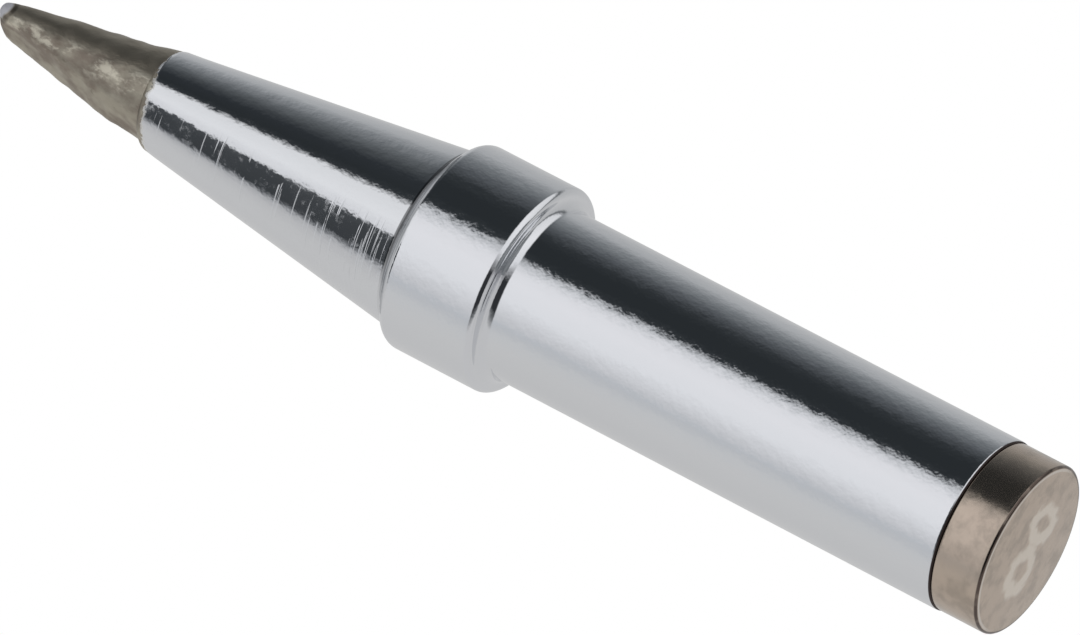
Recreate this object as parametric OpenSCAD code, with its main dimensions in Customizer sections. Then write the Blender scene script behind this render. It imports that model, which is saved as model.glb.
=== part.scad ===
// Soldering iron tip with a temperature-sensing slug.
// A turned copper tip, plated, with a screwdriver-shaped working end, and
// a disc of magnetic alloy bonded to the rear of its shank.
// Units are millimetres. The tip stands on the slug's rear face: the origin
// is the centre of that face, and +Z runs along the tip to its working end.
// The working edge lies along X.

/* [Shank] */
// Diameter of the plain shank that slides into the heater
shank_d = 6.0; // [5:0.05:6.1]
// Length of the shank, from the collar's rear face to the slug
shank_len = 17.4; // [8:0.1:40]
// Rounding of the shank's rear edge
shank_round = 0.12; // [0.05:0.01:0.4]

/* [Sensor slug] */
// Diameter of the slug
slug_d = 5.93; // [4.5:0.01:6.4]
// Length of the slug
slug_len = 1.75; // [1:0.05:6]
// Rounding of the slug's two edges
slug_round = 0.08; // [0.03:0.01:0.3]

/* [Collar] */
// Diameter of the collar that the barrel holds
collar_d = 7.3; // [7.15:0.05:10]
// Length of the collar
collar_len = 3.55; // [1.5:0.05:8]
// Rounding of the collar's two edges
collar_round = 0.25; // [0.05:0.01:0.3]
// Fillet where the shank meets the collar
root_fillet = 0.3; // [0.05:0.01:0.38]
// Fillet where the nose leaves the collar
nose_fillet = 0.1; // [0.05:0.01:0.13]

/* [Nose] */
// Diameter of the nose where it leaves the collar
nose_base_d = 6.43; // [4.8:0.01:6.44]
// Diameter that the nose tapers to at its shoulder
nose_end_d = 3.4; // [3.35:0.01:4.4]
// Length of the nose, from the collar to its shoulder
nose_len = 11.25; // [4:0.05:30]
// Rounding of the shoulder, where the chrome ends
shoulder_round = 0.35; // [0.1:0.01:0.6]

/* [Working end] */
// Diameter of the tinned end just above the shoulder
neck_d = 3.17; // [2.2:0.01:3.3]
// Length of the tinned end, from the shoulder to the working edge
end_len = 6.45; // [3:0.05:16]
// Width of the working edge
edge_w = 1.3; // [0.8:0.05:2.0]
// Thickness of the working edge, between its two flats
edge_t = 0.5; // [0.42:0.01:0.9]
// How far back from the working edge the two flats run
flat_len = 6.05; // [2:0.05:6.4]
// Rounding of the working edge and its corners
edge_round = 0.2; // [0.05:0.01:0.24]

/* [Hidden] */
$fn = 96;

// Stations along the tip, from the slug's rear face
shank_z = slug_len;
collar_z = shank_z + shank_len;
nose_z = collar_z + collar_len;
shoulder_z = nose_z + nose_len;
end_z = shoulder_z + end_len;

// Widths of the collar's two flat faces, which limit the roundings and fillets beside them
rear_step = (collar_d - shank_d) / 2;
front_step = (collar_d - nose_base_d) / 2;
least_round = 0.01;
rear_round = beside_wall(collar_round, rear_step / 2);
root_r = beside_wall(root_fillet, rear_step - rear_round);
foot_r = beside_wall(nose_fillet, 0.3 * front_step);
front_round = beside_wall(collar_round, front_step - foot_r);

// The tinned end starts this far inside the nose, level with the shoulder's arc
neck_z = shoulder_z - shoulder_round;
neck_slope = (neck_d - edge_w) / 2 / end_len;
neck_base_r = neck_d / 2 + neck_slope * shoulder_round;

// Half the thickness between the flats where they run out on the cone
flat_run = min(flat_len, end_len);
flat_out = edge_w / 2 + neck_slope * flat_run;
flat_slope = (flat_out - edge_t / 2) / flat_run;
flat_base = edge_t / 2 + flat_slope * end_len;
// The flats' rounded edges are drawn this far past the end face, so the face stays a plain flat
flat_lift = edge_round / 10;

// Radius of a rounding or fillet, no larger than the wall it sits on
function beside_wall(r, wall) = max(least_round, min(r, wall));

// A trapezium centred on Y, from base at y = 0 to top at y = len, in half
// widths. Arcs of radius r round its two top corners.
module rounded_taper(base, top, len, r) {
    slope = (base - top) / len;
    a = atan(slope);
    arc_x = top + r * slope - r / cos(a);
    side = [arc_x + r * cos(a), len - r + r * sin(a)];
    polygon([[-base, 0], [base, 0], side, [arc_x, len], [-arc_x, len], [-side[0], side[1]]]);
    for (s = [-1, 1])
        translate([s * arc_x, len - r])
            circle(r = r);
}

// The same, turned over: the rounded corners are at the bottom.
module rounded_foot(half, len, r) {
    translate([0, len])
        mirror([0, 1])
            rounded_taper(half, half, len, r);
}

// Sliver that fills the inside corner under the collar with an arc
module inside_fillet(x, y, r) {
    difference() {
        translate([x - r, y - r])
            square([2 * r, 2 * r]);
        translate([x + r, y - r])
            circle(r = r);
        translate([x + r, y - 2 * r])
            square([2 * r, 4 * r]);
    }
}

// Sliver that fills the inside corner at the foot of the nose, tangent to its taper
module nose_foot(r) {
    slope = (nose_base_d - nose_end_d) / 2 / nose_len;
    reach = sqrt(1 + slope * slope);
    arc_x = nose_base_d / 2 - slope * r + r * reach;
    touch = [arc_x - r / reach, nose_z + r - slope * r / reach];
    inner = touch[0] - r;
    difference() {
        polygon([[inner, nose_z], [arc_x, nose_z], touch, [inner, touch[1]]]);
        translate([arc_x, nose_z + r])
            circle(r = r);
    }
}

// Half section of the whole turned body, before its flats are cut
module turned_profile() {
    intersection() {
        union() {
            translate([0, shank_z])
                rounded_foot(shank_d / 2, shank_len + collar_len / 2, shank_round);
            inside_fillet(shank_d / 2, collar_z, root_r);
            translate([0, collar_z])
                rounded_foot(collar_d / 2, collar_len / 2, rear_round);
            translate([0, collar_z + collar_len / 2])
                rounded_taper(collar_d / 2, collar_d / 2, collar_len / 2, front_round);
            translate([0, nose_z])
                rounded_taper(nose_base_d / 2, nose_end_d / 2, nose_len, shoulder_round);
            nose_foot(foot_r);
            translate([0, neck_z])
                rounded_taper(neck_base_r, edge_w / 2, end_z - neck_z, edge_round);
        }
        square([collar_d, end_z]);
    }
}

// Side view of the two flats: a rounded wedge over a block that clears the nose
module flats_profile() {
    translate([0, shoulder_z])
        rounded_taper(flat_base, edge_t / 2 - flat_slope * flat_lift, end_len + flat_lift, edge_round);
    translate([-collar_d, 0])
        square([2 * collar_d, shoulder_z]);
}

// Turned copper body, plated, with two flats cut on its working end
module tip_body() {
    color([0.80, 0.81, 0.84])
        intersection() {
            rotate_extrude()
                turned_profile();
            rotate([90, 0, 90])
                linear_extrude(height = 2 * collar_d, center = true)
                    flats_profile();
        }
}

// Disc of magnetic alloy, bonded face to face to the rear of the shank
module sensor_slug() {
    color([0.62, 0.56, 0.51])
        rotate_extrude()
            intersection() {
                union() {
                    rounded_foot(slug_d / 2, slug_len / 2, slug_round);
                    translate([0, slug_len / 2])
                        rounded_taper(slug_d / 2, slug_d / 2, slug_len / 2, slug_round);
                }
                square([slug_d, slug_len]);
            }
}

tip_body();
sensor_slug();
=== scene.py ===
# %% [markdown]
# # A soldering iron tip, dressed for its photograph
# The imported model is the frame: a turned copper body and a sensor slug, standing on the slug's face with
# +Z along the tip. This lesson gives both a finer mesh and a real finish: bright chrome with turning
# marks, a tinned working end, and a satin alloy slug. Every length below is written in millimetres.

# %% The frame
import math

import bmesh
import bpy
from mathutils import Matrix, Vector


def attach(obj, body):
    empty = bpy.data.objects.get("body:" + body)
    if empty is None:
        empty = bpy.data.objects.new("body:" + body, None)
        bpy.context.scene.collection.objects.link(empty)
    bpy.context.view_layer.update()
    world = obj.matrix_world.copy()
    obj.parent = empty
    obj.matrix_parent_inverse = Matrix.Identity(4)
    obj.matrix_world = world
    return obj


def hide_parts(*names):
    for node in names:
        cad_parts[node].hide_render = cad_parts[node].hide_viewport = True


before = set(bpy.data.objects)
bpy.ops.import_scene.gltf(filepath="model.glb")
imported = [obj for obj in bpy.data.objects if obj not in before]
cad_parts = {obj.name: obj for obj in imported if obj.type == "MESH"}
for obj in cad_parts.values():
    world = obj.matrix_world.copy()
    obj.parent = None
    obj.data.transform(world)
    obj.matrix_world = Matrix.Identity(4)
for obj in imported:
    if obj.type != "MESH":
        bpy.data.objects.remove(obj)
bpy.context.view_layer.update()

MM = 0.001

# %% [markdown]
# ## The camera
# The photograph looks at the tip from behind and below: the rear face is near, and the axis lies 22.5 degrees
# out of the picture plane and 27.6 degrees down across it. A long lens keeps the shank's sides almost
# parallel. The camera's three directions are built from those angles, so that they can be read one by one.

# %% Camera
tilt_out = math.radians(22.5)
tilt_across = math.radians(27.58)
turn_about_axis = math.radians(57)

along_tip = Vector((0, 0, 1))
towards_view = Vector((math.sin(turn_about_axis), -math.cos(turn_about_axis), 0))
beside_view = along_tip.cross(towards_view)
back = -math.sin(tilt_out) * along_tip + math.cos(tilt_out) * towards_view
to_rear = -math.cos(tilt_out) * along_tip - math.sin(tilt_out) * towards_view
right = math.cos(tilt_across) * to_rear + math.sin(tilt_across) * beside_view
up = -math.sin(tilt_across) * to_rear + math.cos(tilt_across) * beside_view

camera_data = bpy.data.cameras.new("camera")
camera_data.lens = 507.9
camera_data.sensor_width = 36
camera_data.clip_start = 0.01
camera_data.clip_end = 20
camera = bpy.data.objects.new("camera", camera_data)
camera.matrix_world = Matrix((right, up, back)).transposed().to_4x4()
camera.location = (-15.476 * right + 7.397 * up + 482.7 * back) * MM
bpy.context.scene.collection.objects.link(camera)
bpy.context.scene.camera = camera
print("Camera elevation:", round(math.degrees(math.asin(back.z)), 1))

# %% [markdown]
# ## Small helpers
# An operator works on whatever is selected, so every primitive starts from an empty selection. In edit mode,
# edges and faces are picked by where they are, which stays right however the mesh was made.

# %% Helpers for modelling
def clear_selection():
    if bpy.context.mode != "OBJECT":
        bpy.ops.object.mode_set(mode="OBJECT")
    bpy.ops.object.select_all(action="DESELECT")


def select_in_edit(kind, test):
    """Selects the edges or faces whose test is true, and nothing else."""
    modes = {"VERT": (True, False, False), "EDGE": (False, True, False), "FACE": (False, False, True)}
    bpy.context.tool_settings.mesh_select_mode = modes[kind]
    bpy.ops.mesh.select_all(action="DESELECT")
    mesh = bmesh.from_edit_mesh(bpy.context.object.data)
    parts = {"VERT": mesh.verts, "EDGE": mesh.edges, "FACE": mesh.faces}[kind]
    chosen = [part for part in parts if test(part)]
    for part in chosen:
        part.select_set(True)
    bmesh.update_edit_mesh(bpy.context.object.data)
    return len(chosen)


def on_ring(z, radius):
    """A test for edges that lie on the ring at this height and radius."""
    def test(edge):
        return all(
            abs(v.co.z - z * MM) < 2e-6 and abs(v.co.xy.length - radius * MM) < 3e-6 for v in edge.verts
        )
    return test


def start_turning(name, z, radius, sides):
    """A filled circle at the rear of a turned piece, in edit mode with its cap selected."""
    clear_selection()
    bpy.ops.mesh.primitive_circle_add(
        vertices=sides, radius=radius * MM, fill_type="NGON", location=(0, 0, z * MM)
    )
    piece = bpy.context.object
    piece.name = name
    piece.data.name = name
    bpy.ops.object.transform_apply(location=True, rotation=True, scale=True)
    bpy.ops.object.mode_set(mode="EDIT")
    bpy.ops.mesh.select_all(action="SELECT")
    return piece


def turn_along(stations):
    """Extrudes the selected cap from station to station, each a height and a radius."""
    for (z0, r0), (z1, r1) in zip(stations, stations[1:]):
        bpy.ops.mesh.extrude_region_move(TRANSFORM_OT_translate={"value": (0, 0, (z1 - z0) * MM)})
        if r1 != r0:
            bpy.ops.transform.resize(value=(r1 / r0, r1 / r0, 1), center_override=(0, 0, z1 * MM))


def round_ring(z, radius, amount, segments):
    """Rounds the ring edge at this height and radius."""
    count = select_in_edit("EDGE", on_ring(z, radius))
    bpy.ops.mesh.bevel(offset=amount * MM, segments=segments, affect="EDGES", clamp_overlap=False)
    return count


def add_rings(heights):
    """Cuts a ring of edges round the piece at each height."""
    for z in heights:
        bpy.ops.mesh.select_all(action="SELECT")
        bpy.ops.mesh.bisect(plane_co=(0, 0, z * MM), plane_no=(0, 0, 1))


def finish_turning(piece):
    """Closes the mesh, turns its faces outwards and smooths its shading."""
    bpy.ops.mesh.select_all(action="SELECT")
    bpy.ops.mesh.remove_doubles(threshold=1e-7)
    bpy.ops.mesh.normals_make_consistent(inside=False)
    bpy.ops.object.mode_set(mode="OBJECT")
    bpy.ops.object.shade_smooth()
    low = [round(min(v.co[i] for v in piece.data.vertices) / MM, 3) for i in range(3)]
    high = [round(max(v.co[i] for v in piece.data.vertices) / MM, 3) for i in range(3)]
    print(piece.name, "runs from", low, "to", high, "with", len(piece.data.polygons), "faces")


# %% [markdown]
# ## The floor
# The tip stands on a pale table. The photograph's camera is below the table's level, so the table has to let
# it through: its material is clear from below, and a round hole under the slug keeps the two faces apart.
# It could be a plane with a boolean hole, but a ring that is extruded outwards gives the hole for nothing.

# %% Floor
clear_selection()
bpy.ops.mesh.primitive_circle_add(vertices=128, radius=2.92 * MM, fill_type="NOTHING")
floor = bpy.context.object
floor.name = "floor"
bpy.ops.object.mode_set(mode="EDIT")
bpy.ops.mesh.select_all(action="SELECT")
for reach in (4, 40, 2000):
    bpy.ops.mesh.extrude_region_move()
    now = max(v.co.length for v in bmesh.from_edit_mesh(floor.data).verts)
    bpy.ops.transform.resize(value=(reach * MM / now, reach * MM / now, 1), center_override=(0, 0, 0))
bpy.ops.mesh.select_all(action="SELECT")
bpy.ops.mesh.normals_make_consistent(inside=False)
bpy.ops.object.mode_set(mode="OBJECT")
if floor.data.polygons[0].normal.z < 0:
    floor.data.flip_normals()
print("Floor faces:", len(floor.data.polygons))


# %% Helpers for nodes
def add_node(tree, kind, sockets=None, **settings):
    """A node with its settings. Each of its sockets gets a value, or a link from another socket."""
    made = tree.nodes.new(kind)
    for name, value in settings.items():
        setattr(made, name, value)
    for name, value in (sockets or {}).items():
        if isinstance(value, bpy.types.NodeSocket):
            tree.links.new(value, made.inputs[name])
        else:
            made.inputs[name].default_value = value
    return made


def math_node(tree, operation, *values):
    """The result of a Math node on these values or sockets."""
    return add_node(tree, "ShaderNodeMath", dict(enumerate(values)), operation=operation).outputs[0]


def new_material(name):
    material = bpy.data.materials.new(name)
    material.use_nodes = True
    material.node_tree.nodes.clear()
    tree = material.node_tree
    surface = add_node(tree, "ShaderNodeBsdfPrincipled")
    out = add_node(tree, "ShaderNodeOutputMaterial")
    tree.links.new(surface.outputs["BSDF"], out.inputs["Surface"])
    return material, tree, surface, out


# %% Floor material
table_top, tree, surface, out = new_material("pale_table")
surface.inputs["Base Color"].default_value = (0.86, 0.86, 0.86, 1)
surface.inputs["Roughness"].default_value = 0.8
surface.inputs["Emission Color"].default_value = (1, 1, 1, 1)
surface.inputs["Emission Strength"].default_value = 0.2
facing = add_node(tree, "ShaderNodeNewGeometry")
clear = add_node(tree, "ShaderNodeBsdfTransparent")
mix = add_node(tree, "ShaderNodeMixShader")
tree.links.new(facing.outputs["Backfacing"], mix.inputs[0])
tree.links.new(surface.outputs["BSDF"], mix.inputs[1])
tree.links.new(clear.outputs["BSDF"], mix.inputs[2])
tree.links.new(mix.outputs["Shader"], out.inputs["Surface"])
floor.data.materials.append(table_top)
floor.visible_glossy = False

# %% [markdown]
# ## The studio light
# Polished chrome shows its surroundings, so the light is designed first. A photographer's tent is mostly
# white and pale grey, with one large soft light and black flags that draw the dark bands along the metal.
# It could be built of lamps and cards. A world shader gives the same soft tent without noise: one ramp round
# the tip's axis for each level, mixed by height.

# %% Studio
def studio_ramp(tree, stops):
    """A colour ramp round the axis: degrees from the camera's side, and the grey seen there, 0 to 255."""
    ramp = add_node(tree, "ShaderNodeValToRGB")
    ramp.color_ramp.interpolation = "LINEAR"
    while len(ramp.color_ramp.elements) > 1:
        ramp.color_ramp.elements.remove(ramp.color_ramp.elements[-1])
    for number, (degrees, colour) in enumerate(stops):
        place = degrees / 360 + 0.5
        if number == 0:
            stop = ramp.color_ramp.elements[0]
            stop.position = place
        else:
            stop = ramp.color_ramp.elements.new(place)
        stop.color = [*[linear(c) for c in colour], 1]
    return ramp


def linear(value):
    """Screen value, 0 to 255, to light."""
    v = value / 255
    return v / 12.92 if v < 0.04045 else ((v + 0.055) / 1.055) ** 2.4


level_with_shank = [
    (-180, (203, 203, 203)), (-128, (204, 204, 204)), (-89, (208, 208, 208)), (-72, (207, 208, 209)),
    (-61, (199, 201, 204)), (-56, (198, 201, 205)), (-48, (210, 211, 214)), (-35, (226, 227, 230)),
    (-23, (238, 239, 242)), (0, (242, 242, 245)), (13, (238, 238, 241)), (20, (223, 224, 227)), (26, (196, 198, 201)),
    (33, (52, 56, 59)), (42, (44, 48, 51)), (60, (44, 48, 51)), (72, (52, 56, 59)), (89, (90, 94, 98)),
    (106, (128, 132, 135)), (128, (178, 180, 182)), (180, (203, 203, 203)),
]
level_with_nose = [
    (-180, (206, 206, 206)), (-128, (207, 207, 207)), (-89, (205, 205, 205)), (-74, (198, 198, 199)),
    (-66, (182, 183, 185)), (-60, (120, 122, 125)), (-55, (62, 65, 68)), (-30, (66, 69, 72)),
    (-21, (74, 77, 80)), (-17, (226, 227, 230)), (0, (240, 241, 243)), (24, (232, 233, 235)),
    (32, (52, 56, 59)), (42, (44, 48, 51)), (60, (48, 52, 56)), (74, (74, 78, 81)), (89, (102, 106, 109)),
    (106, (140, 143, 146)), (128, (190, 192, 194)), (180, (206, 206, 206)),
]
above_the_nose = [
    (-180, (150, 151, 153)), (-120, (180, 181, 182)), (-70, (200, 201, 202)), (-20, (214, 215, 217)),
    (24, (226, 227, 230)), (33, (62, 65, 68)), (80, (66, 69, 72)), (120, (110, 113, 116)),
    (180, (150, 151, 153)),
]
overhead = [
    (-180, (84, 87, 90)), (-130, (140, 142, 145)), (-70, (190, 191, 192)), (-40, (160, 162, 164)),
    (0, (158, 160, 162)), (40, (170, 172, 174)), (66, (180, 181, 184)), (84, (178, 179, 182)),
    (110, (150, 152, 155)), (180, (84, 87, 90)),
]
beside_the_camera = [
    (-180, (205, 205, 205)), (-68, (206, 206, 207)), (-52, (120, 122, 124)), (-42, (50, 52, 55)),
    (-2, (50, 52, 55)), (24, (234, 235, 238)), (60, (246, 246, 248)), (110, (228, 229, 231)),
    (120, (96, 99, 102)), (130, (190, 191, 192)), (180, (205, 205, 205)),
]
level_with_camera = [
    (-180, (206, 206, 206)), (-30, (196, 196, 198)), (-12, (172, 172, 175)), (4, (150, 150, 153)),
    (14, (110, 113, 116)), (60, (140, 143, 146)), (112, (110, 113, 116)), (128, (190, 191, 192)),
    (180, (206, 206, 206)),
]
world = bpy.data.worlds.new("studio")
bpy.context.scene.world = world
world.use_nodes = True
tree = world.node_tree
tree.nodes.clear()
looking = add_node(tree, "ShaderNodeTexCoord")
along = add_node(tree, "ShaderNodeVectorMath", operation="DOT_PRODUCT")
along.inputs[1].default_value = towards_view
beside = add_node(tree, "ShaderNodeVectorMath", operation="DOT_PRODUCT")
beside.inputs[1].default_value = beside_view
height = add_node(tree, "ShaderNodeSeparateXYZ")
for dot in (along, beside):
    tree.links.new(looking.outputs["Generated"], dot.inputs[0])
tree.links.new(looking.outputs["Generated"], height.inputs[0])
angle = add_node(tree, "ShaderNodeMath", operation="ARCTAN2")
tree.links.new(beside.outputs["Value"], angle.inputs[0])
tree.links.new(along.outputs["Value"], angle.inputs[1])

turn = add_node(tree, "ShaderNodeMath", operation="MULTIPLY_ADD")
tree.links.new(angle.outputs[0], turn.inputs[0])
turn.inputs[1].default_value = 1 / math.tau
turn.inputs[2].default_value = 0.5

levels = [
    (level_with_camera, -2, -1),
    (beside_the_camera, -0.86, -0.80), (level_with_shank, -0.06, 0.20),
    (level_with_nose, 0.52, 0.56), (above_the_nose, 0.66, 0.70), (overhead, 0.78, 0.84),
]
seen = None
for stops, low, high in levels:
    ramp = studio_ramp(tree, stops)
    tree.links.new(turn.outputs[0], ramp.inputs[0])
    if seen is None:
        seen = ramp.outputs["Color"]
        continue
    rise = add_node(tree, "ShaderNodeMapRange", interpolation_type="SMOOTHSTEP")
    tree.links.new(height.outputs["Z"], rise.inputs["Value"])
    rise.inputs["From Min"].default_value = low
    rise.inputs["From Max"].default_value = high
    blend = add_node(tree, "ShaderNodeMix", data_type="RGBA")
    tree.links.new(rise.outputs["Result"], blend.inputs["Factor"])
    tree.links.new(seen, blend.inputs[6])
    tree.links.new(ramp.outputs["Color"], blend.inputs[7])
    seen = blend.outputs[2]

tent = add_node(tree, "ShaderNodeBackground", {"Color": seen, "Strength": 1.0})
backdrop = add_node(tree, "ShaderNodeBackground", {"Color": (1, 1, 1, 1), "Strength": 1.0})
path = add_node(tree, "ShaderNodeLightPath")
choose = add_node(tree, "ShaderNodeMixShader")
out = add_node(tree, "ShaderNodeOutputWorld")
tree.links.new(path.outputs["Is Camera Ray"], choose.inputs[0])
tree.links.new(tent.outputs[0], choose.inputs[1])
tree.links.new(backdrop.outputs[0], choose.inputs[2])
tree.links.new(choose.outputs[0], out.inputs["Surface"])
bpy.context.scene.view_settings.view_transform = "Standard"

# %% [markdown]
# ## The turned body
# The real body is turned from one copper rod: shank, collar and tapered nose. Chrome shows every facet, and
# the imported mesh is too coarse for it, so the body is turned again here with 224 sides. A profile could be
# spun, but growing a circle station by station keeps clean rings that are easy to round.

# %% Sizes of the turned body
SIDES = 224
SHANK_R, COLLAR_R, NOSE_END_R = 3.0, 3.65, 1.7
SHANK_Z, COLLAR_Z, SHOULDER_Z, END_Z = 1.75, 19.15, 33.95, 40.40
STEP_Z, STEP_ROUND, STEP_FILLET = 22.48, 0.35, 0.25
STEP_END_R = 3.17
step_lean = math.acos(1 - (COLLAR_R - STEP_END_R) / (STEP_ROUND + STEP_FILLET))


def step_down(z, start_r, lean, convex, concave, pieces=8):
    """Stations of a soft step: an arc that turns inwards by lean, and an arc that turns back."""
    stations = []
    for k in range(1, pieces + 1):
        a = lean * k / pieces
        stations.append((z + convex * math.sin(a), start_r - convex * (1 - math.cos(a))))
    middle_z, middle_r = stations[-1]
    for k in range(pieces - 1, -1, -1):
        a = lean * k / pieces
        drop = concave * (math.cos(a) - math.cos(lean))
        stations.append((middle_z + concave * (math.sin(lean) - math.sin(a)), middle_r - drop))
    return stations


# %% Body
body = start_turning("plated_tip_body", SHANK_Z, SHANK_R, SIDES)
step = step_down(STEP_Z, COLLAR_R, step_lean, STEP_ROUND, STEP_FILLET)
turn_along([
    (SHANK_Z, SHANK_R), (COLLAR_Z, SHANK_R), (COLLAR_Z, COLLAR_R), (STEP_Z, COLLAR_R), *step,
    (SHOULDER_Z, NOSE_END_R),
])
round_ring(SHANK_Z, SHANK_R, 0.12, 6)
round_ring(COLLAR_Z, SHANK_R, 0.36, 12)
round_ring(COLLAR_Z, COLLAR_R, 0.25, 10)
round_ring(SHOULDER_Z, NOSE_END_R, 0.30, 12)
rings = [1.9, 18.74, 19.45, 22.42, 23.12, 33.2, 33.45]
rings += [2.5 + 1.0 * k for k in range(16)] + [20.4, 21.4] + [23.5 + 0.9 * k for k in range(11)]
add_rings(rings)
finish_turning(body)

# %% Shoulder
# The chrome's end isn't quite square: it reaches further up on the side that was uppermost in the bath
for v in body.data.vertices:
    climb = min(1, max(0, (v.co.z / MM - 33.1) / 0.7))
    v.co.z += climb * 0.14 * v.co.dot(beside_view) / NOSE_END_R

# %% [markdown]
# ## The tinned working end
# The working end is a screwdriver blade: a cone with two flats, wetted with solder. It is cut from a cone
# with two bisects, its edges are rounded, and an even, fine skin of quads is laid over it, which a
# displacement can then push into the soft lumps of old solder.

# %% Sizes of the working end
NECK_R, EDGE_W, EDGE_T, FLAT_LEN = 1.60, 1.24, 0.54, 6.05
BURIED = 0.6
neck_slope = (NECK_R - EDGE_W / 2) / (END_Z - SHOULDER_Z)
flat_slope = (EDGE_W / 2 + neck_slope * FLAT_LEN - EDGE_T / 2) / FLAT_LEN

# %% Working end
def cut_away(y, z, normal, x=0.0):
    """Cuts off what lies beyond a plane, and closes the cut."""
    bpy.ops.mesh.select_all(action="SELECT")
    bpy.ops.mesh.bisect(plane_co=(x * MM, y * MM, z * MM), plane_no=normal, use_fill=True, clear_outer=True)


root_r = NECK_R + neck_slope * BURIED
tin = start_turning("tinned_working_end", SHOULDER_Z - BURIED, root_r, 128)
turn_along([(SHOULDER_Z - BURIED, root_r), (SHOULDER_Z, NECK_R), (END_Z, EDGE_W / 2)])
for side in (-1, 1):
    cut_away(side * EDGE_T / 2, END_Z, (0, side, flat_slope))
    cut_away(side * (EDGE_T / 2 - 0.12), END_Z, (0, side, 0.8))
    for end in (-1, 1):
        cut_away(side * (EDGE_T / 2 - 0.05), END_Z, (end * 0.6, side * 0.8, 0.16), x=end * (EDGE_W / 2 - 0.08))
cut_away(0, END_Z, (-1, 0, 0.9), x=-EDGE_W / 2 + 0.44)
cut_away(0, END_Z, (1, 0, 1.0), x=EDGE_W / 2 - 0.14)
finish_turning(tin)

# %% Bead
# A bead of solder has frozen on the edge's upper corner
BEAD = Vector((0.46, -0.02, END_Z - 0.26))
clear_selection()
bpy.ops.mesh.primitive_uv_sphere_add(segments=32, ring_count=16, radius=0.30 * MM, location=BEAD * MM)
bead = bpy.context.object
bead.name = "bead"
bpy.ops.object.transform_apply(location=True, rotation=True, scale=True)
tin.select_set(True)
bpy.context.view_layer.objects.active = tin
bpy.ops.object.join()

# %% Solder skin
def apply_modifier(piece, kind, **settings):
    modifier = piece.modifiers.new(kind.lower(), kind)
    for name, value in settings.items():
        setattr(modifier, name, value)
    bpy.ops.object.modifier_apply(modifier=modifier.name)


apply_modifier(tin, "REMESH", mode="VOXEL", voxel_size=0.04 * MM)
apply_modifier(tin, "SMOOTH", factor=0.5, iterations=70)
for name, scale, strength in (("lumps", 1.1, 0.10), ("ripples", 0.5, 0.02)):
    cloud = bpy.data.textures.new(name, "CLOUDS")
    cloud.noise_scale = scale * MM
    cloud.noise_depth = 1
    apply_modifier(tin, "DISPLACE", texture=cloud, texture_coords="LOCAL", strength=strength * MM, mid_level=0.5)
bpy.ops.object.shade_smooth()

# %% Solder, settled
# More solder sits on the upper side of the shoulder, and smoothing has shortened the blade a little
SKIN_END_Z = END_Z - 0.07
top = max(v.co.z for v in tin.data.vertices) / MM
for v in tin.data.vertices:
    up_the_end = v.co.z / MM - SHOULDER_Z
    if up_the_end > 0:
        v.co.z = (SHOULDER_Z + up_the_end * (SKIN_END_Z - SHOULDER_Z) / (top - SHOULDER_Z)) * MM
    near_root = max(0, 1 - max(0, up_the_end) / 1.2)
    v.co += beside_view * (0.09 * near_root * MM)
print("Working end:", len(tin.data.polygons), "faces, up to", round(max(v.co.z for v in tin.data.vertices) / MM, 3))

# %% [markdown]
# ## The sensor slug
# A disc of magnetic alloy on the rear of the shank. It is turned in the same way, with a fine round on each
# rim. The thin dark seam beside the shank is the groove where the two rounds meet, with painted shade along it.

# %% Slug
slug = start_turning("alloy_sensor_slug", 0, 2.965, SIDES)
turn_along([(0, 2.965), (SHANK_Z, 2.965)])
round_ring(0, 2.965, 0.11, 6)
round_ring(SHANK_Z, 2.965, 0.07, 5)
add_rings([0.16, 0.5, 0.9, 1.3, 1.63])
finish_turning(slug)


# %% [markdown]
# ## Finishes
# Turning and plating leave fine unevenness that runs round the metal. One node group gives it as a height:
# noise that is stretched round the axis. Height plus radius is its long coordinate, so that the marks run
# as rings across the flat faces too.

# %% Group for ring marks
def new_group(name, ins, outs):
    """A node group with its named values in and out, and the sockets to use inside it."""
    group = bpy.data.node_groups.new(name, "ShaderNodeTree")
    for label, value in ins:
        group.interface.new_socket(label, in_out="INPUT", socket_type="NodeSocketFloat").default_value = value
    for label, kind in outs:
        group.interface.new_socket(label, in_out="OUTPUT", socket_type="NodeSocket" + kind)
    return group, add_node(group, "NodeGroupInput").outputs, add_node(group, "NodeGroupOutput").inputs


def in_millimetres(tree):
    """The object's own coordinates, in millimetres."""
    place = add_node(tree, "ShaderNodeTexCoord")
    scaled = add_node(tree, "ShaderNodeVectorMath", {0: place.outputs["Object"], "Scale": 1000.0}, operation="SCALE")
    return scaled.outputs[0]


def noise_at(tree, vector, scale, detail=2.0, roughness=0.5):
    """Noise of about 0 to 1 at a vector in millimetres; scale is in patches per millimetre."""
    sockets = {"Vector": vector, "Scale": scale, "Detail": detail, "Roughness": roughness}
    return add_node(tree, "ShaderNodeTexNoise", sockets).outputs["Fac"]


def across_axis(tree, spot):
    """The part of a place that is square to the axis."""
    return add_node(tree, "ShaderNodeVectorMath", {0: spot, 1: (1, 1, 0)}, operation="MULTIPLY").outputs[0]


def length_of(tree, vector):
    return add_node(tree, "ShaderNodeVectorMath", {0: vector}, operation="LENGTH").outputs["Value"]


def up_the_side(tree, spot):
    """How far up the round side a place lies: 1 at the top, 0 facing the camera, -1 underneath."""
    outwards = add_node(tree, "ShaderNodeVectorMath", {0: across_axis(tree, spot)}, operation="NORMALIZE").outputs[0]
    return add_node(tree, "ShaderNodeVectorMath", {0: outwards, 1: beside_view}, operation="DOT_PRODUCT").outputs["Value"]


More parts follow.
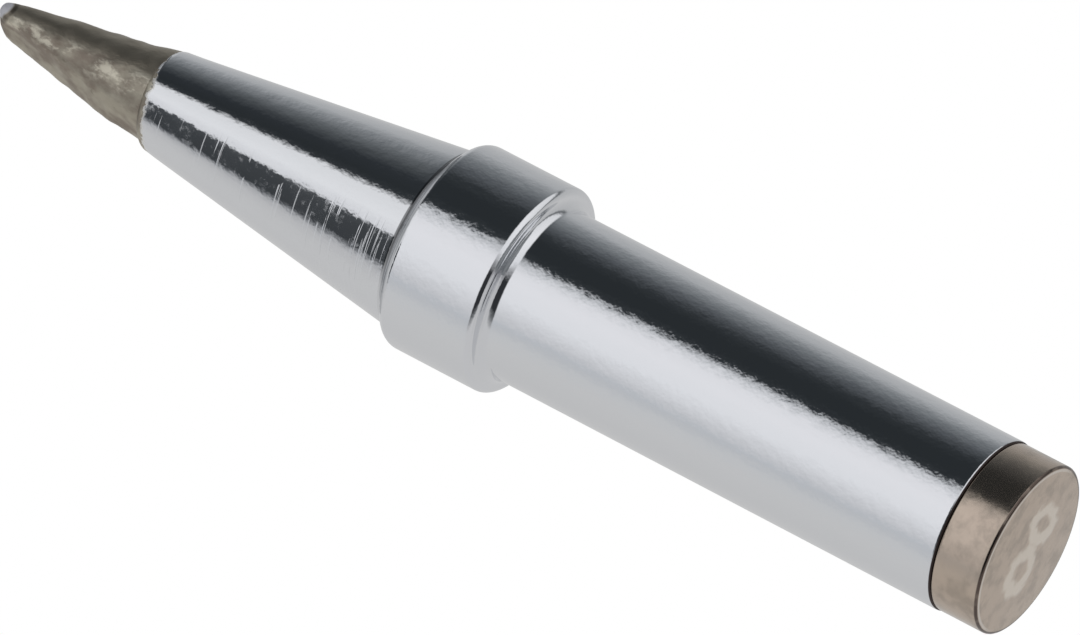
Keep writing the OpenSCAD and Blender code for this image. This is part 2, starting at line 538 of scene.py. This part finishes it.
def between(tree, value, low, high, to_low=0.0, to_high=1.0, smooth=True):
    """The value spread from low..high to to_low..to_high, without running past either end."""
    kind = "SMOOTHSTEP" if smooth else "LINEAR"
    sockets = {"Value": value, "From Min": low, "From Max": high, "To Min": to_low, "To Max": to_high}
    return add_node(tree, "ShaderNodeMapRange", sockets, interpolation_type=kind).outputs["Result"]


def mix_colours(tree, factor, first, second):
    return add_node(tree, "ShaderNodeMix", {"Factor": factor, 6: first, 7: second}, data_type="RGBA").outputs[2]


def mix_values(tree, factor, first, second):
    return add_node(tree, "ShaderNodeMix", {"Factor": factor, 2: first, 3: second}, data_type="FLOAT").outputs[0]


ring_marks, given, result = new_group(
    "ring_marks", [("Along per mm", 6.0), ("Around per mm", 2.0), ("Detail", 3.0)], [("Height", "Float")]
)
spot = in_millimetres(ring_marks)
split = add_node(ring_marks, "ShaderNodeSeparateXYZ", {0: spot}).outputs
radius = length_of(ring_marks, across_axis(ring_marks, spot))
stretched = add_node(ring_marks, "ShaderNodeCombineXYZ", {
    "X": math_node(ring_marks, "MULTIPLY", split["X"], given["Around per mm"]),
    "Y": math_node(ring_marks, "MULTIPLY", split["Y"], given["Around per mm"]),
    "Z": math_node(ring_marks, "MULTIPLY", math_node(ring_marks, "ADD", split["Z"], radius), given["Along per mm"]),
}).outputs[0]
ring_marks.links.new(noise_at(ring_marks, stretched, 1.0, given["Detail"], 0.62), result["Height"])

# %% [markdown]
# Solder that has been wiped and wetted many times is a mottled skin: brownish where flux has baked on, cream
# where the metal is bright, and rough all over. On top of that, light is painted in by the side of the round:
# the cream flecks keep to the band facing the camera as a painted highlight, and the upper side is painted a
# darker olive and a band below the middle browner as painted shade. The same group colours the working end
# and the ragged edge where the tin creeps over the chrome, so that the two meet without a seam.

# %% Group for old solder
old_solder_and_painted_light, given, result = new_group(
    "old_solder_and_painted_light", [("Patches per mm", 1.2)], [("Color", "Color"), ("Roughness", "Float"), ("Height", "Float")]
)
spot = in_millimetres(old_solder_and_painted_light)
drawn_out = add_node(old_solder_and_painted_light, "ShaderNodeVectorMath", {0: spot, 1: (1, 1, 0.55)}, operation="MULTIPLY").outputs[0]
patches = noise_at(old_solder_and_painted_light, drawn_out, given["Patches per mm"], 4.0, 0.6)
flecks = noise_at(old_solder_and_painted_light, drawn_out, 2.1, 4.0, 0.62)
grain = noise_at(old_solder_and_painted_light, spot, 11.0, 2.0, 0.6)
side = up_the_side(old_solder_and_painted_light, spot)
# The cream flecks are kept to the band that faces the camera, fading out below it: a painted highlight on real cream
# solder
highlight_band = math_node(old_solder_and_painted_light, "MULTIPLY", between(old_solder_and_painted_light, side, 0.38, 0.2), between(old_solder_and_painted_light, side, -0.5, -0.1, 0.15, 1.0))
# The upper side of the round is painted one even, darker olive: painted shade
shaded_top = between(old_solder_and_painted_light, side, 0.22, 0.42)
# A band below the middle takes more of the brown: painted shade, laid over real patches of baked flux
shaded_band = math_node(old_solder_and_painted_light, "MULTIPLY", between(old_solder_and_painted_light, side, -0.12, -0.28), between(old_solder_and_painted_light, side, -0.68, -0.5))
flux_and_shade = math_node(old_solder_and_painted_light, "MULTIPLY_ADD", shaded_band, 0.10, patches)
flux_and_shade = between(old_solder_and_painted_light, flux_and_shade, 0.40, 0.62)
highlight_flecks = math_node(old_solder_and_painted_light, "MULTIPLY", between(old_solder_and_painted_light, flecks, 0.47, 0.62), highlight_band)
dark_spots = math_node(old_solder_and_painted_light, "MULTIPLY", between(old_solder_and_painted_light, flecks, 0.40, 0.28), between(old_solder_and_painted_light, side, 0.38, 0.2, 0.2, 0.8))
skin_colour = mix_colours(old_solder_and_painted_light, flux_and_shade, (0.47, 0.43, 0.35, 1), (0.335, 0.285, 0.235, 1))
skin_colour = mix_colours(old_solder_and_painted_light, shaded_top, skin_colour, (0.43, 0.385, 0.31, 1))
skin_colour = mix_colours(old_solder_and_painted_light, highlight_flecks, skin_colour, (0.76, 0.71, 0.59, 1))
skin_colour = mix_colours(old_solder_and_painted_light, dark_spots, skin_colour, (0.27, 0.235, 0.18, 1))
old_solder_and_painted_light.links.new(skin_colour, result["Color"])
old_solder_and_painted_light.links.new(between(old_solder_and_painted_light, patches, 0.3, 0.7, 0.40, 0.50), result["Roughness"])
lumpy = math_node(old_solder_and_painted_light, "MULTIPLY_ADD", grain, 0.12, flecks)
old_solder_and_painted_light.links.new(lumpy, result["Height"])

# %% Group for the reach of the tin
tin_reach, given, result = new_group(
    "tin_reach", [("Start mm", 33.85), ("Climb mm", 0.35), ("Ragged mm", 0.2)], [("Mask", "Float"), ("Frost", "Float")]
)
spot = in_millimetres(tin_reach)
height = add_node(tin_reach, "ShaderNodeSeparateXYZ", {0: spot}).outputs["Z"]
side = add_node(tin_reach, "ShaderNodeVectorMath", {0: spot, 1: -beside_view / 1.6}, operation="DOT_PRODUCT")
side = side.outputs["Value"]
edge_noise = math_node(tin_reach, "SUBTRACT", noise_at(tin_reach, spot, 3.5, 4.0, 0.65), 0.5)
line = math_node(tin_reach, "MULTIPLY_ADD", side, given["Climb mm"], height)
line = math_node(tin_reach, "MULTIPLY_ADD", edge_noise, math_node(tin_reach, "MULTIPLY", given["Ragged mm"], 2.0), line)
line = math_node(tin_reach, "SUBTRACT", line, given["Start mm"])
tin_reach.links.new(between(tin_reach, line, -0.015, 0.03), result["Mask"])
lip = math_node(tin_reach, "MULTIPLY_ADD", side, 0.2, height)
lip = math_node(tin_reach, "MULTIPLY_ADD", edge_noise, 0.5, lip)
at_middle = between(tin_reach, up_the_side(tin_reach, spot), 0.42, 0.22)
tin_reach.links.new(math_node(tin_reach, "MULTIPLY", between(tin_reach, lip, 33.52, 33.66), at_middle), result["Frost"])

# %% [markdown]
# The chrome is a mirror with a faint ripple: it is the ripple that frays the edges of the dark bands. A second
# set of marks, finer along the tip and only in places, is the lathe's own. Near the shoulder the tin's mask
# takes over colour and roughness.

# %% Group for a painted shade line
# A thin dark ring at one height, for painted shade in seams and corners
painted_shade_line, given, result = new_group("painted_shade_line", [("Height mm", 1.75), ("Width mm", 0.06)], [("Mask", "Float")])
height = add_node(painted_shade_line, "ShaderNodeSeparateXYZ", {0: in_millimetres(painted_shade_line)}).outputs["Z"]
off = math_node(painted_shade_line, "ABSOLUTE", math_node(painted_shade_line, "SUBTRACT", height, given["Height mm"]))
clean = math_node(painted_shade_line, "DIVIDE", off, given["Width mm"])
painted_shade_line.links.new(between(painted_shade_line, clean, 1.3, 0.8), result["Mask"])

# %% Chrome
chrome, tree, surface, out = new_material("bright_chrome")
spot = in_millimetres(tree)
height = add_node(tree, "ShaderNodeSeparateXYZ", {0: spot}).outputs["Z"]
on_nose = between(tree, height, 22.9, 23.1)
in_root = math_node(tree, "MULTIPLY", between(tree, height, 18.1, 18.8), between(tree, height, 20.1, 19.4))
ripple = add_node(tree, "ShaderNodeGroup", {"Along per mm": 2.7, "Around per mm": 2.6, "Detail": 2.5}, node_tree=ring_marks)
calm = mix_values(tree, on_nose, 1.45, 1.0)
calm = mix_values(tree, in_root, calm, 0.7)
lathe = add_node(tree, "ShaderNodeGroup", {"Along per mm": 10.0, "Around per mm": 0.14, "Detail": 1.0}, node_tree=ring_marks)
near_collar = between(tree, height, 26.6, 25.2, -0.02, 0.08)
scored = between(tree, math_node(tree, "ADD", lathe.outputs[0], near_collar), 0.61, 0.73)
side = up_the_side(tree, spot)
where = math_node(tree, "MULTIPLY", on_nose, between(tree, noise_at(tree, spot, 0.7, 2.0), 0.36, 0.46))
where = math_node(tree, "MULTIPLY", where, between(tree, side, 0.0, -0.14))
solder_here = add_node(tree, "ShaderNodeGroup", {"Patches per mm": 1.2}, node_tree=old_solder_and_painted_light).outputs
reach = add_node(tree, "ShaderNodeGroup", {"Start mm": 33.70, "Climb mm": 0.24, "Ragged mm": 0.3}, node_tree=tin_reach)
mask, frost = reach.outputs["Mask"], reach.outputs["Frost"]
seam_shade = add_node(tree, "ShaderNodeGroup", {"Height mm": 1.78, "Width mm": 0.04}, node_tree=painted_shade_line).outputs["Mask"]
corner_shade = add_node(tree, "ShaderNodeGroup", {"Height mm": 23.0, "Width mm": 0.07}, node_tree=painted_shade_line).outputs["Mask"]
relief = math_node(tree, "MULTIPLY", ripple.outputs[0], calm)
relief = math_node(tree, "MULTIPLY_ADD", math_node(tree, "MULTIPLY", scored, where), -0.35, relief)
relief = math_node(tree, "MULTIPLY_ADD", math_node(tree, "MULTIPLY", solder_here["Height"], mask), 3.0, relief)
bump = add_node(tree, "ShaderNodeBump", {"Strength": 1.0, "Distance": 0.010 * MM, "Height": relief})
tree.links.new(bump.outputs["Normal"], surface.inputs["Normal"])
colour = mix_colours(tree, frost, (0.80, 0.81, 0.83, 1), (0.86, 0.84, 0.80, 1))
colour = mix_colours(tree, mask, colour, solder_here["Color"])
# A thin dark ring on the shank's rear round, where it meets the slug: painted shade in the seam groove
colour = mix_colours(tree, seam_shade, colour, (0.085, 0.065, 0.06, 1))
# A dark ring in the fillet where the collar's step meets the nose, fainter underneath: painted shade in the corner
corner_shade = math_node(tree, "MULTIPLY", corner_shade, between(tree, side, -0.7, -0.3, 0.1, 0.75))
colour = mix_colours(tree, corner_shade, colour, (0.10, 0.10, 0.105, 1))
tree.links.new(colour, surface.inputs["Base Color"])
haze = between(tree, noise_at(tree, spot, 0.8, 3.0), 0.35, 0.75, 0.045, 0.09)
spatter = between(tree, noise_at(tree, spot, 3.4, 3.0, 0.6), 0.54, 0.68, 0.0, 0.11)
spatter = math_node(tree, "MULTIPLY", spatter, between(tree, side, -0.02, -0.14))
spatter = math_node(tree, "MULTIPLY", spatter, between(tree, height, 22.9, 23.4))
haze = math_node(tree, "ADD", haze, spatter)
rough = mix_values(tree, frost, haze, 0.45)
rough = mix_values(tree, mask, rough, solder_here["Roughness"])
rough = mix_values(tree, seam_shade, rough, 0.6)
tree.links.new(rough, surface.inputs["Roughness"])
surface.inputs["Metallic"].default_value = 1.0
body.data.materials.append(chrome)

# %% Tin
solder, tree, surface, out = new_material("tinned_end")
skin_look = add_node(tree, "ShaderNodeGroup", {"Patches per mm": 1.2}, node_tree=old_solder_and_painted_light).outputs
bump = add_node(tree, "ShaderNodeBump", {"Strength": 1.0, "Distance": 0.03 * MM, "Height": skin_look["Height"]})
tree.links.new(bump.outputs["Normal"], surface.inputs["Normal"])
bead_off = add_node(tree, "ShaderNodeVectorMath", {0: in_millimetres(tree), 1: BEAD}, operation="DISTANCE").outputs["Value"]
on_bead = between(tree, bead_off, 0.34, 0.27)
# A ring round the foot of the bead is painted darker: painted shade in the crease
crease_shade = math_node(tree, "MULTIPLY", between(tree, bead_off, 0.30, 0.35), between(tree, bead_off, 0.50, 0.40))
skin_colour = mix_colours(tree, math_node(tree, "MULTIPLY", crease_shade, 0.75), skin_look["Color"], (0.17, 0.145, 0.12, 1))
# The bead is painted pale bluish grey and made mostly diffuse: a painted reflection on a real bead of solder
tree.links.new(mix_colours(tree, on_bead, skin_colour, (0.62, 0.62, 0.66, 1)), surface.inputs["Base Color"])
tree.links.new(skin_look["Roughness"], surface.inputs["Roughness"])
tree.links.new(mix_values(tree, on_bead, 1.0, 0.15), surface.inputs["Metallic"])
tin.data.materials.append(solder)

# %% [markdown]
# The slug is a satin nickel-iron disc, warm grey, with darker patches where it has been handled. Its rear face
# carries a plain numeral, stamped in two loops. The loops could be cut into the mesh, but they are so shallow
# that a mask does as well: each loop is a circle in coordinates that a Mapping node stretches to an oval.

# %% Group for the numeral
numeral, given, result = new_group("stamped_numeral", [("Stroke mm", 0.42)], [("Mask", "Float")])
spot = in_millimetres(numeral)
turned = turn_about_axis - math.pi / 2
uneven = between(numeral, noise_at(numeral, spot, 1.8, 2.0), 0.3, 0.7, -0.16, 0.16)
loops = []
for along_up, offset, half_width, half_height, boldness in ((0.96, -0.05, 0.72, 0.52, 1.1), (-0.70, -0.18, 0.66, 0.66, 1.25)):
    centre = towards_view * offset + beside_view * along_up
    oval = add_node(numeral, "ShaderNodeMapping", {
        "Vector": spot, "Location": centre, "Rotation": (0, 0, turned), "Scale": (half_width, half_height, 1e6)
    }, vector_type="TEXTURE").outputs[0]
    far = add_node(numeral, "ShaderNodeVectorMath", {0: oval}, operation="LENGTH").outputs["Value"]
    off = math_node(numeral, "ABSOLUTE", math_node(numeral, "SUBTRACT", math_node(numeral, "ADD", far, uneven), 1.0))
    loops.append(math_node(numeral, "MULTIPLY", off, (half_width + half_height) / 2 / boldness))
nearest = math_node(numeral, "MINIMUM", *loops)
inside = math_node(numeral, "SUBTRACT", math_node(numeral, "MULTIPLY", given["Stroke mm"], 0.5), nearest)
stroke = between(numeral, inside, -0.13, 0.11)
on_face = between(numeral, add_node(numeral, "ShaderNodeSeparateXYZ", {0: spot}).outputs["Z"], 0.05, 0.02)
numeral.links.new(math_node(numeral, "MULTIPLY", stroke, on_face), result["Mask"])

# %% Alloy
alloy, tree, surface, out = new_material("satin_alloy")
spot = in_millimetres(tree)
stamp = add_node(tree, "ShaderNodeGroup", {"Stroke mm": 0.42}, node_tree=numeral).outputs["Mask"]
patches = noise_at(tree, spot, 1.2, 4.0, 0.6)
handled = between(tree, patches, 0.42, 0.66)
metal = mix_colours(tree, handled, (0.57, 0.475, 0.39, 1), (0.45, 0.38, 0.315, 1))
# The numeral's strokes are painted lighter: partly a polished floor in the stamp, partly a painted highlight where they
# catch the light
metal = mix_colours(tree, stamp, metal, (0.76, 0.68, 0.59, 1))
# A thin dark ring at the slug's front edge, where it meets the shank: painted shade in the seam groove
seam_shade = add_node(tree, "ShaderNodeGroup", {"Height mm": 1.77, "Width mm": 0.03}, node_tree=painted_shade_line).outputs["Mask"]
metal = mix_colours(tree, seam_shade, metal, (0.07, 0.05, 0.04, 1))
split = add_node(tree, "ShaderNodeSeparateXYZ", {0: spot}).outputs
outwards = length_of(tree, across_axis(tree, spot))
near = add_node(tree, "ShaderNodeVectorMath", {0: spot, 1: towards_view}, operation="DOT_PRODUCT").outputs["Value"]
near = between(tree, near, -0.6, 0.6)
# The outer part of the face's rounded rim is painted dark, reaching less far in on the side near the camera and broken
# up by noise: painted shade on the rounding
shaded_rim = math_node(tree, "ADD", outwards, math_node(tree, "MULTIPLY", near, -0.05))
shaded_rim = math_node(tree, "MULTIPLY", between(tree, shaded_rim, 2.83, 2.86), between(tree, split["Z"], 0.12, 0.07))
rim_shade_amount = between(tree, noise_at(tree, spot, 2.2, 2.0), 0.25, 0.5, 0.65, 0.95)
metal = mix_colours(tree, math_node(tree, "MULTIPLY", shaded_rim, rim_shade_amount), metal, (0.10, 0.075, 0.065, 1))
on_face = between(tree, split["Z"], 0.05, 0.02)
# A pale ring just inside the face's rim, strongest on the side near the camera: a painted highlight
edge_highlight = math_node(tree, "MULTIPLY", between(tree, outwards, 2.76, 2.81), between(tree, outwards, 2.89, 2.86))
edge_highlight = math_node(tree, "MULTIPLY", math_node(tree, "MULTIPLY", edge_highlight, on_face), near)
metal = mix_colours(tree, math_node(tree, "MULTIPLY", edge_highlight, 0.8), metal, (0.74, 0.68, 0.62, 1))
tree.links.new(metal, surface.inputs["Base Color"])
rough = between(tree, patches, 0.35, 0.7, 0.13, 0.22)
tree.links.new(mix_values(tree, seam_shade, rough, 0.6), surface.inputs["Roughness"])
marks = add_node(tree, "ShaderNodeGroup", {"Along per mm": 5.0, "Around per mm": 2.2, "Detail": 3.0}, node_tree=ring_marks)
relief = math_node(tree, "MULTIPLY_ADD", stamp, 1.2, marks.outputs[0])
bump = add_node(tree, "ShaderNodeBump", {"Strength": 1.0, "Distance": 0.008 * MM, "Height": relief})
tree.links.new(bump.outputs["Normal"], surface.inputs["Normal"])
surface.inputs["Metallic"].default_value = 0.97
slug.data.materials.append(alloy)

# %% [markdown]
# ## Replacing the CAD nodes
# Each piece takes the place of its CAD node, which is hidden, and rides on the one body.

# %% Ride and replace
for piece, node_name, slot_name in (
    (body, "tip_body", "plated_body"), (tin, "tip_body", "plated_body"), (slug, "sensor_slug", "sensor_alloy")
):
    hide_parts(node_name)
    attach(piece, "root")
clear_selection()
